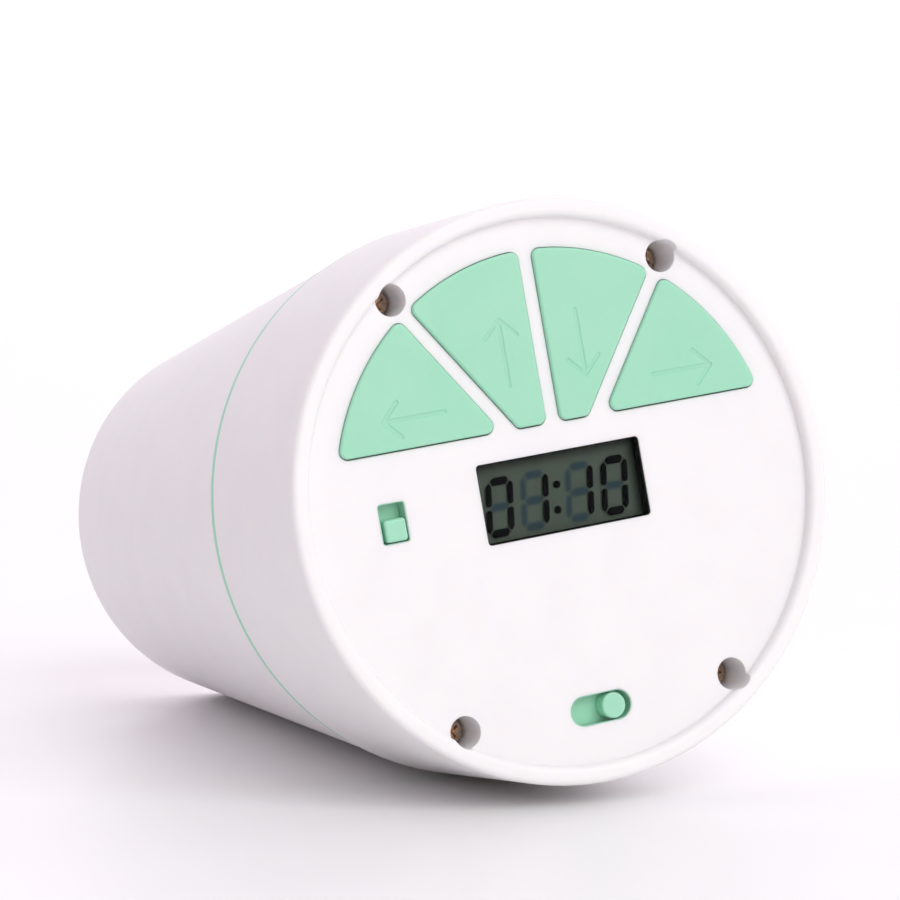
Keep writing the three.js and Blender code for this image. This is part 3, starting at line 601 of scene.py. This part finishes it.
def make_front_housing():
    edge = 0.3
    rim_out = arc((COLLAR_R - RIM_OUTER_ROUND, -RIM_OUTER_ROUND), RIM_OUTER_ROUND, 0, math.pi / 2, 8)
    rim_in = arc(
        (RIM_INNER_R + RIM_INNER_ROUND, -RIM_INNER_ROUND), RIM_INNER_ROUND, math.pi / 2, math.pi, 6
    )
    corner = arc((RIM_INNER_R - edge, FACE_Z + edge), edge, 0, -math.pi / 2, 4)
    back = arc((COLLAR_R - edge, -HEAD_LENGTH + edge), edge, -math.pi / 2, 0, 5)
    profile = [(0, FACE_BACK_Z), (SKIRT_INNER_R, FACE_BACK_Z), (SKIRT_INNER_R, -HEAD_LENGTH)]
    profile += back + rim_out + rim_in + corner + [(0, FACE_Z)]
    housing = lathe("front_housing", profile)
    wells, posts = well_places(), ((-12, -25), (12, -25))
    tube_levels = [(0, FACE_Z - 0.5), (0, WELL["end_z"])]
    post_levels = [(0, FACE_BACK_Z + 0.5), (0, -10.4)]
    tubes = [loft("tube", circle_of(place, WELL["tube"]), tube_levels) for place in wells]
    join(housing, *tubes, *[loft("post", circle_of(place, 2.6), post_levels) for place in posts])
    bore_levels = [(0, 1), (0, WELL["seat_z"])]
    bores = [loft("bore", circle_of(place, WELL["radius"]), bore_levels) for place in wells]
    cut(housing, *bores, *[loft("thread", circle_of(place, 1.3), [(0, -6), (0, -12)]) for place in posts])
    screw_hole_levels = [(0, WELL["seat_z"] + 1), (0, -13)]
    cut(housing, *[loft("hole", circle_of(place, 1.4), screw_hole_levels) for place in wells])
    key_holes = [hole(key_hole_of(place), KEY_LIP) for place in ("left", "up", "down", "right")]
    window = rectangle_of((0, 0), WINDOW["width"], WINDOW["height"], WINDOW["corner"])
    switches = [hole(switch_outline(switch), 0.12) for switch in (SIDE_SWITCH, LOWER_SWITCH)]
    cut(housing, *key_holes, hole(window, 0.12), *switches)
    finish_piece(housing, "front_shell", "head", "white_plastic", ["front_housing"])


def capsule(start, end, depth, half_width, top):
    """A cutter for one engraved stroke with round ends and a rounded bottom."""
    start, end = Vector(start), Vector(end)
    heading = math.atan2(end.y - start.y, end.x - start.x)
    centre = (start + end) / 2
    length = (end - start).length

    def outline(margin):
        half = half_width + margin
        near = arc((-length / 2, 0), half, math.pi / 2, 3 * math.pi / 2, 10)
        far = arc((length / 2, 0), half, -math.pi / 2, math.pi / 2, 10)
        turn = Matrix.Rotation(heading, 2)
        return [tuple(turn @ Vector(point) + centre) for point in near + far]

    levels = [(0.08, top + 0.3), (0.06, top + 0.001), (-0.02, top - 0.25 * depth)]
    levels += [(-0.4 * half_width, top - 0.85 * depth), (-0.75 * half_width, top - depth)]
    return loft("stroke", outline, levels)


ARROWS = {
    "left": {"tip": (-27.2, 14.8), "angle": math.pi},
    "up": {"tip": (-6.25, 26.85), "angle": math.pi / 2},
    "down": {"tip": (6.5, 16.6), "angle": -math.pi / 2},
    "right": {"tip": (27.5, 14.8), "angle": 0},
}
ARROW_LENGTH = 9.9
ARROW_BARB = (2.6, 2.6)
ARROW_HALF_WIDTH = 0.36
ARROW_DEPTH = 0.2
STROKE_STEP = 0.015  # each stroke is this much narrower, so that no two round ends coincide


def arrow_strokes(place):
    tip, angle = Vector(ARROWS[place]["tip"]), ARROWS[place]["angle"]
    turn = Matrix.Rotation(angle, 2)
    tail = tip + turn @ Vector((-ARROW_LENGTH, 0))
    barbs = [tip + turn @ Vector((-ARROW_BARB[0], side * ARROW_BARB[1])) for side in (-1, 1)]
    return [(tail, tip), (barbs[0], tip), (barbs[1], tip)]


def make_key(place):
    levels = [(KEY_FLANGE["margin"], KEY_FLANGE["bottom"]), (KEY_FLANGE["margin"], KEY_FLANGE["top"])]
    levels += [(KEY_DRAFT, KEY_FLANGE["top"]), (KEY_DRAFT, FACE_Z - 0.5), (0, FACE_Z + 0.1)]
    levels += fillet(KEY_BEVEL, KEY_TOP_Z)
    key = loft("key", key_of(place), levels)
    clear_r = WELL["tube"] + 2 * GAP
    cut(key, *[loft("well", circle_of(well, clear_r), [(0, -4), (0, -7)]) for well in well_places()])
    for k, (start, end) in enumerate(arrow_strokes(place)):
        depth, half_width = ARROW_DEPTH - k * STROKE_STEP / 3, ARROW_HALF_WIDTH - k * STROKE_STEP
        cut(key, capsule(start, end, depth, half_width, KEY_TOP_Z))
    finish_piece(key, f"{place}_arrow_key", f"arrow_key_{place}", "mint_plastic", [f"key_{place}"])


def stepped_box(name, x, y, z_low, z_high, corner, rounding):
    """A box with rounded corners and a rounded upper edge, between x, y and z limits."""
    centre = ((x[0] + x[1]) / 2, (y[0] + y[1]) / 2)
    outline = rectangle_of(centre, x[1] - x[0], y[1] - y[0], corner)
    return loft(name, outline, [(0, z_low)] + fillet(rounding, z_high))


def make_side_knob():
    plate = stepped_box("plate", (-31.2, -24.8), (-5.6, 3.2), -5.6, -4.4, 0.3, 0.1)
    knob = stepped_box("knob", (-29.6, -26.1), (-2.75, 0.65), -5, -1.7, 0.55, 0.5)
    stem = stepped_box("stem", (-28.9, -27.1), (-1.9, -0.1), -7.4, -5, 0.2, 0.1)
    join(join(plate, knob), stem)
    finish_piece(plate, "side_knob", "side_slider", "mint_plastic", ["side_switch_knob"])


def make_lower_knob():
    plate = stepped_box("plate", (-5.5, 9.5), (-36.3, -29.9), -5.6, -4.4, 0.3, 0.1)
    knob = loft("knob", circle_of((2, -33.1), 1.95), [(0, -5)] + fillet(0.35, -1.7))
    stem = stepped_box("stem", (0.1, 1.9), (-34, -32.2), -7.4, -5, 0.2, 0.1)
    join(join(plate, knob), stem)
    finish_piece(plate, "lower_knob", "lower_slider", "mint_plastic", ["lower_switch_knob"])


def make_housing_screws():
    seat = WELL["seat_z"]
    dome = [(r, seat + 1.9 - 0.35 * (r / 2.1) ** 2) for r in (0, 0.5, 1, 1.5, 1.8)]
    head = [(2.0, seat + 1.4), (2.1, seat + 1.1), (2.1, seat + GAP), (1.1, seat + GAP)]
    thread = []
    for k in range(18):
        z = seat - 2.2 - 0.7 * k
        thread += [(0.85, z), (1.1, z - 0.35)]
    profile = dome + head + thread + [(0.5, seat - 14.9), (0, seat - 15.1)]
    for k, (x, y) in enumerate(well_places()):
        screw = lathe("screw", profile, 40)
        screw.data.transform(Matrix.Translation((x, y, 0)))
        for turn in (0, math.pi / 2):
            arm = rectangle_of((0, 0), 2.6, 0.5, 0.1)
            tilt = Matrix.Translation((x, y, 0)) @ Matrix.Rotation(turn + math.radians(25 + 31 * k), 4, "Z")
            cut(screw, loft("arm", arm, [(0, seat + 3), (0, seat + 1.3), (-0.12, seat + 0.9)], tilt))
        finish_piece(screw, f"housing_screw_head_{k + 1}", "head", "screw_steel", [f"housing_screw_{k + 1}"])


# ---- display ----


def segment_polygons():
    """The outline of each of a digit's seven strokes, about the digit's centre and upright."""
    x, y = DIGIT_PITCH_X / 2 + STROKE_SIDE / 2, DIGIT_HEIGHT / 2
    middle_x, level, gap = DIGIT_PITCH_X / 2, STROKE_LEVEL / 2, STROKE_GAP
    cut_x, cut_y = x - STROKE_CHAMFER / 2, y - STROKE_CHAMFER / 2
    inner_x, inner_y = x - STROKE_SIDE, y - STROKE_LEVEL
    half = STROKE_SIDE / 2

    def outer_level(sign):
        """The top or the bottom stroke, with its outer corners cut off."""
        right = [(inner_x - gap, inner_y), (cut_x - gap / 2, cut_y + gap / 2), (x - STROKE_CHAMFER, y)]
        points = right + [(-px, py) for px, py in reversed(right)]
        return [(px, sign * py) for px, py in points]

    def upright(side, sign):
        """A vertical stroke, with a point at the middle and its outer corner cut off."""
        points = [(middle_x, gap), (x, half), (x, y - STROKE_CHAMFER), (cut_x + gap / 2, cut_y - gap / 2)]
        points += [(inner_x, inner_y - gap), (inner_x, half)]
        return [(side * px, sign * py) for px, py in points]

    end = middle_x - gap
    inner_end = end - level
    return {
        "a": outer_level(1),
        "d": outer_level(-1),
        "g": [(-end, 0), (-inner_end, level), (inner_end, level), (end, 0), (inner_end, -level), (-inner_end, -level)],
        "f": upright(-1, 1),
        "b": upright(1, 1),
        "e": upright(-1, -1),
        "c": upright(1, -1),
    }


def slanted(points, centre_x):
    return [(centre_x + x + DIGIT_SLANT * y, DIGIT_Y + y) for x, y in points]


def all_segments():
    """Each stroke of the four digits and the colon's dots, as (outline, shown)."""
    strokes = []
    for centre, digit in zip(DIGIT_CENTRES, DIGITS_SHOWN):
        for key, points in segment_polygons().items():
            strokes.append((slanted(points, centre), key in SEGMENTS_OF[digit]))
    return strokes + [(circle(dot, COLON_R, 20), True) for dot in COLON_DOTS]


def distance_outside(outline, x, y):
    """How far a point is outside a polygon, and below 0 inside it."""
    nearest, inside = 1e9, False
    for (ax, ay), (bx, by) in zip(outline, outline[1:] + outline[:1]):
        dx, dy = bx - ax, by - ay
        along = max(0.0, min(1.0, ((x - ax) * dx + (y - ay) * dy) / (dx * dx + dy * dy)))
        nearest = min(nearest, math.hypot(x - ax - along * dx, y - ay - along * dy))
        if (ay > y) != (by > y) and x < ax + (y - ay) * dx / dy:
            inside = not inside
    return -nearest if inside else nearest


GHOST_BLUR = 0.28
GHOST_STRENGTH = 0.85


def ghost_at(strokes, x, y):
    """How dark the blurred shadow of the display's strokes is at a point, from 0 to 1."""
    darkest = 0.0
    for outline, low_x, high_x, low_y, high_y in strokes:
        if not (low_x < x < high_x and low_y < y < high_y):
            continue
        fade = 0.5 - distance_outside(outline, x, y) / (2 * GHOST_BLUR)
        darkest = max(darkest, min(1.0, max(0.0, fade)))
    return GHOST_STRENGTH * darkest


def painted_window_shadow_at(x, y):
    """How dark the painted shadow of the window's edges is on the display, near its upper, right and left edges, from
    0 to 1.
    """
    shadow = 0.0
    for place, edge, reach, most in (
        (y, WINDOW["height"] / 2 - 0.1, 1.9, 0.8),
        (x, WINDOW["width"] / 2 + 0.7, 2.6, 0.9),
        (-x, WINDOW["width"] / 2, 0.9, 0.3),
    ):
        depth = min(1.0, max(0.0, 1 - (edge - place) / reach))
        shadow = max(shadow, most * depth * depth)
    return shadow


def make_display_back():
    x_half, y_half, back, step = 15.5, 8.0, -7.2, 0.2
    columns, rows = int(round(2 * x_half / step)), int(round(2 * y_half / step))
    points = []
    for z in (REFLECTOR_Z, back):
        for j in range(rows + 1):
            for i in range(columns + 1):
                if z == REFLECTOR_Z or i in (0, columns) and j in (0, rows):
                    points.append((-x_half + i * step, -y_half + j * step, z))
    wide = columns + 1
    faces = [
        [j * wide + i, j * wide + i + 1, (j + 1) * wide + i + 1, (j + 1) * wide + i]
        for j in range(rows)
        for i in range(columns)
    ]
    low_left, low_right, high_left, high_right = range(len(points) - 4, len(points))
    front = list(range(wide))
    rear = [rows * wide + i for i in range(wide)]
    left = [j * wide for j in range(rows + 1)]
    right = [j * wide + columns for j in range(rows + 1)]
    faces += [
        front + [low_right, low_left],
        rear + [high_right, high_left],
        left + [high_left, low_left],
        right + [high_right, low_right],
        [low_left, low_right, high_right, high_left],
    ]
    plate = new_solid("lcd", points, faces)
    strokes = []
    for outline, shown in all_segments():
        if shown:
            continue
        xs, ys = [p[0] for p in outline], [p[1] for p in outline]
        strokes.append((outline, min(xs) - 1, max(xs) + 1, min(ys) - 1, max(ys) + 1))
    places = [vertex.co for vertex in plate.data.vertices]
    ghosts = [ghost_at(strokes, p.x, p.y) if p.z > back + 1 else 0.0 for p in places]
    # The attribute shade holds the painted shadow of the window's edges.
    for attribute, values in (("ghost", ghosts), ("shade", [painted_window_shadow_at(p.x, p.y) for p in places])):
        plate.data.attributes.new(attribute, "FLOAT", "POINT").data.foreach_set("value", values)
    finish_piece(plate, "display_glass", "head", "lcd_glass", ["lcd_glass"])


def make_segments():
    plates = []
    for outline, shown in all_segments():
        if shown:
            levels = [(0, SEGMENT_Z - SEGMENT_THICKNESS), (0, SEGMENT_Z)]
            plates.append(loft("stroke", lambda margin, o=outline: o, levels))
    finish_piece(group("segments", plates), "display_segments", "head", "display_ink")


def ring_wall(name, outline, outer, inner, top, bottom):
    """A thin tube that follows an outline, between two margins and two heights."""
    wall = loft(name, outline, [(outer, bottom), (outer, top)])
    return cut(wall, loft("inside", outline, [(inner, bottom - 1), (inner, top + 1)]))


def make_window():
    outline = rectangle_of((0, 0), WINDOW["width"], WINDOW["height"], WINDOW["corner"])
    window = loft("lens", outline, [(-0.2, -4.1), (-0.1, -4.0)] + [(m - 0.1, z) for m, z in fillet(0.1, FACE_Z - 0.5, 3)])
    finish_piece(window, "clear_lens", "head", "clear_window", ["display_window"])
    gasket = ring_wall("gasket", outline, -0.01, -0.09, FACE_Z - 0.14, -4.1)
    finish_piece(gasket, "lens_gasket", "head", "black_rubber")


def switch_outline(switch):
    corner = 0.5 if switch is SIDE_SWITCH else switch["height"] / 2 - 0.01
    return rectangle_of((switch["x"], switch["y"]), switch["width"], switch["height"], corner)


def make_switch_frames():
    """The thin mint lining of each switch opening."""
    for name, switch in (("side_switch_frame", SIDE_SWITCH), ("lower_switch_frame", LOWER_SWITCH)):
        lining = ring_wall("lining", switch_outline(switch), -0.01, -0.13, FACE_Z - 0.12, FACE_BACK_Z - 0.1)
        finish_piece(lining, name, "head", "mint_plastic")


# ---- drum ----


def drum_radius(z):
    return DRUM_MOUTH_R + (z - SHELL_Z) * math.tan(TAPER)


def make_drum_cover():
    flange_end, plate_end, skirt_end = COVER_Z - SEAM_RING, COVER_Z - SEAM_RING - 0.6, -44.5
    wall, groove_r, edge = MOUTH_R - 0.4, 39.3, 0.05
    rim = arc((SEAM_R - edge, COVER_Z - edge), edge, math.pi / 2, 0, 4)
    rim += arc((SEAM_R - edge, flange_end + edge), edge, 0, -math.pi / 2, 4)
    profile = [(0, COVER_Z)] + rim
    profile += [(wall, flange_end), (wall, -40.9), (groove_r, -40.9), (groove_r, -42.7), (wall, -42.7)]
    profile += [(wall, skirt_end + 0.4), (wall - 0.4, skirt_end), (38.2, skirt_end), (38, skirt_end + 0.2)]
    profile += [(38, plate_end - 0.5), (37.5, plate_end), (0, plate_end)]
    cover = lathe("cover", profile)
    cup = loft("cup", circle_of((0, 0), 10), [(0, plate_end + 0.5), (0, -43.2), (-0.2, -43.4)])
    socket = loft("socket", circle_of((0, 0), 5.6), [(0, -43), (0, -50.7), (-0.3, -51)])
    join(join(cover, cup), socket)
    cup_hole = loft("hole", circle_of((0, 0), 8.4), [(0, COVER_Z + 1), (0, -41.8)])
    sixth = math.pi / 6
    corners = arc((0, 0), 3.15, sixth, sixth + 2 * math.pi, 6)[:-1]
    hexagon = loft("hexagon", lambda margin: corners, [(0, -41), (0, -49.6)])
    cut(cut(cover, cup_hole), hexagon)
    finish_piece(cover, "drum_lid", "drum_drive", "mint_plastic", ["drum_cover"])


def make_drum_seal():
    ring = arc((40.15, -41.8), 0.55, 0, 2 * math.pi, 24)[:-1]
    finish_piece(lathe("seal", ring), "lid_seal", "drum_drive", "black_rubber", ["drum_seal"])


def outlet_box(name, x, y, z_low, z_high, corner=0.4, rounding=0.0):
    """A box on the drum wall, in the outlet's own frame, with its upper edge rounded if asked."""
    centre = ((x[0] + x[1]) / 2, (y[0] + y[1]) / 2)
    outline = rectangle_of(centre, x[1] - x[0], y[1] - y[0], corner)
    upper = fillet(rounding, z_high) if rounding else [(0, z_high)]
    return loft(name, outline, [(0, z_low)] + upper, OUTLET_FRAME)


def make_drum_shell():
    inner_end, mouth_end = DRUM_END_Z + DRUM_WALL, SHELL_Z - MOUTH_DEPTH
    wall = DRUM_WALL / math.cos(TAPER)
    corner = [(DRUM_MOUTH_R, SHELL_Z, 0.25), (DRUM_END_R, DRUM_END_Z, DRUM_END_ROUND), (0, DRUM_END_Z, 0)]
    outside = rounded_outline([(0, SHELL_Z, 0)] + corner)[1:]
    body_sides = 12
    long_wall = []
    for k, (here, ahead) in enumerate(zip(outside, outside[1:])):
        long_wall.append(here)
        if abs(here[1] - ahead[1]) > 50:
            for s in range(1, body_sides):
                t = s / body_sides
                long_wall.append((here[0] + t * (ahead[0] - here[0]), here[1] + t * (ahead[1] - here[1])))
    long_wall.append(outside[-1])
    inside = [(0, inner_end), (drum_radius(inner_end) - wall - 1, inner_end)]
    inside += [(drum_radius(inner_end) - wall, inner_end + 1), (drum_radius(mouth_end) - wall, mouth_end)]
    inside += [(MOUTH_R, mouth_end), (MOUTH_R, SHELL_Z - 0.3), (MOUTH_R + 0.3, SHELL_Z)]
    shell = lathe("shell", long_wall + inside)
    rail = (-RAIL["half"], RAIL["half"])
    guide = outlet_box("guide", rail, (RAIL["start"], RAIL["end"]), RAIL["root"], RAIL["top"], 1.2, 0.5)
    clear = (RAIL["start"] - 1, RAIL["end"] + 1)
    groove = outlet_box("groove", (-RAIL["groove"], RAIL["groove"]), clear, RAIL["floor"], 2.5, 0.05)
    slit = outlet_box("slit", (-RAIL["lip"], RAIL["lip"]), clear, 2.4, RAIL["top"] + 1, 0.05)
    join(shell, cut(cut(guide, groove), slit))
    slot_y = (OUTLET["start"], OUTLET["start"] + OUTLET["length"])
    cut(shell, outlet_box("slot", (-OUTLET["half"], OUTLET["half"]), slot_y, -12, RAIL["top"] + 1, 1.2))
    finish_piece(shell, "food_drum", "drum", "white_plastic", ["drum_shell"])


def make_shutter():
    half = SHUTTER["half"]
    y = (SHUTTER["start"], SHUTTER["end"])
    plate = outlet_box("plate", (-half, half), y, SHUTTER["bottom"], SHUTTER["top"], 0.8, 0.15)
    for low in (y[1] - 5, y[1] - 2.2):
        join(plate, outlet_box("grip", (-5, 5), (low, low + 1.6), SHUTTER["top"] - 0.3, SHUTTER["grip_top"], 0.5, 0.4))
    finish_piece(plate, "outlet_slide", "shutter", "mint_plastic", ["outlet_shutter"])


# ---- CAD nodes that stay ----

SLOT_WORDS = {
    "white_plastic": ("rear_cover", "lcd_holder", "gear_plate", "battery_door"),
    "black_plastic": ("tact_", "_switch_body", "controller_chip", "battery_tray"),
    "black_rubber": ("contact_strip", "lead_black", "cell_lead_right"),
    "red_insulation": ("lead_red", "cell_lead_left"),
    "circuit_board": ("main_board",),
    "motor_can": ("drive_motor",),
    "cell_wrap": ("battery_left", "battery_right"),
    "brass": ("motor_pinion", "drive_bushing"),
    "natural_plastic": ("idler_gear", "drive_shaft"),
    "screw_steel": ("screw", "idler_pin", "plate_contact", "spring_contact"),
}


def slot_of(node):
    return next(slot for slot, words in SLOT_WORDS.items() if any(word in node for word in words))


def dress_cad_nodes():
    for name, node in frame["nodes"].items():
        if node.hide_render:
            continue
        node.data.materials.clear()
        node.data.materials.append(MATERIALS[slot_of(name)])


# ---- floor, light and camera ----


def make_stage():
    half, y = 6.0, 0.0
    floor = new_solid(
        "floor",
        [(-half, y - half, 0), (half, y - half, 0), (half, y + half, 0), (-half, y + half, 0)],
        [[0, 1, 2, 3]],
    )
    shader = Shader("floor", (0.94, 0.94, 0.94), 0.38)
    shader.vary_roughness(shader.noise(30), 0.34, 0.42)
    floor.data.materials.append(shader.material)


def make_sun(name, towards, strength, softness, color):
    """A wide soft light from the direction towards, the same all over the floor."""
    data = bpy.data.lights.new(name, "SUN")
    data.energy = strength
    data.angle = math.radians(softness)
    data.color = color
    lamp = bpy.data.objects.new(name, data)
    lamp.rotation_euler = Vector(towards).to_track_quat("Z", "Y").to_euler()
    bpy.context.scene.collection.objects.link(lamp)


def ramp_node(tree, value, start, end, low, high):
    """value from start to end, mapped to low to high, in the world's node tree."""
    made = tree.nodes.new("ShaderNodeMapRange")
    made.inputs["From Min"].default_value = start
    made.inputs["From Max"].default_value = end
    made.inputs["To Min"].default_value = low
    made.inputs["To Max"].default_value = high
    tree.links.new(value, made.inputs["Value"])
    return made.outputs["Result"]


def make_world():
    """A white studio: a bright backdrop behind the object, a wide soft light in front of it, a dimmer
    left side, and warmer light from low down."""
    world = bpy.data.worlds.new("studio")
    bpy.context.scene.world = world
    world.use_nodes = True
    tree = world.node_tree
    background = tree.nodes["Background"]
    split = tree.nodes.new("ShaderNodeSeparateXYZ")
    tree.links.new(tree.nodes.new("ShaderNodeTexCoord").outputs["Generated"], split.inputs[0])
    behind = ramp_node(tree, split.outputs["Y"], -0.2, 0.7, 0, 0.7)
    across = ramp_node(tree, split.outputs["X"], -0.8, 0.4, 0.22, 0.6)
    front = ramp_node(tree, split.outputs["Y"], -0.55, -0.97, 0, 0.95)
    above = ramp_node(tree, split.outputs["Z"], 0.4, 0.9, 0, 0.22)
    total = background.inputs["Strength"]
    for part in (behind, front, above):
        both = tree.nodes.new("ShaderNodeMath")
        tree.links.new(across, both.inputs[0])
        tree.links.new(part, both.inputs[1])
        across = both.outputs[0]
    tree.links.new(across, total)
    tint = tree.nodes.new("ShaderNodeMix")
    tint.data_type = "RGBA"
    cool = tree.nodes.new("ShaderNodeMath")
    cool.use_clamp = True
    tree.links.new(ramp_node(tree, split.outputs["Z"], 0.0, 0.3, 0, 1), cool.inputs[0])
    tree.links.new(ramp_node(tree, split.outputs["Y"], 0.3, 0.7, 0, 1), cool.inputs[1])
    tree.links.new(cool.outputs[0], tint.inputs[0])
    tint.inputs[6].default_value = (1, 0.86, 0.78, 1)
    tint.inputs[7].default_value = (0.99, 0.91, 0.98, 1)
    tree.links.new(tint.outputs[2], background.inputs["Color"])


CAMERA_PLACE = Vector((-206.40, -508.24, 80.42)) * MM
CAMERA_FORWARD = Vector((0.39125, 0.91856, -0.05634))
CAMERA_LENS = 129.47


def make_camera():
    data = bpy.data.cameras.new("camera")
    data.lens = CAMERA_LENS
    data.sensor_width = 36
    data.clip_start = 0.01
    data.clip_end = 50
    camera = bpy.data.objects.new("camera", data)
    camera.location = CAMERA_PLACE
    camera.rotation_euler = CAMERA_FORWARD.to_track_quat("-Z", "Y").to_euler()
    bpy.context.scene.collection.objects.link(camera)
    bpy.context.scene.camera = camera


def make_studio():
    make_stage()
    make_world()
    make_camera()
    make_sun("key", (0.12, -0.76, 0.64), 0.85, 40, (0.96, 1.08, 1))
    bpy.context.scene.view_settings.view_transform = "Standard"


# ---- assembly ----

make_front_housing()
for key_place in ("left", "up", "down", "right"):
    make_key(key_place)
make_side_knob()
make_lower_knob()
make_housing_screws()
make_display_back()
make_segments()
make_window()
make_switch_frames()
make_drum_cover()
make_drum_seal()
make_drum_shell()
make_shutter()
dress_cad_nodes()
make_studio()
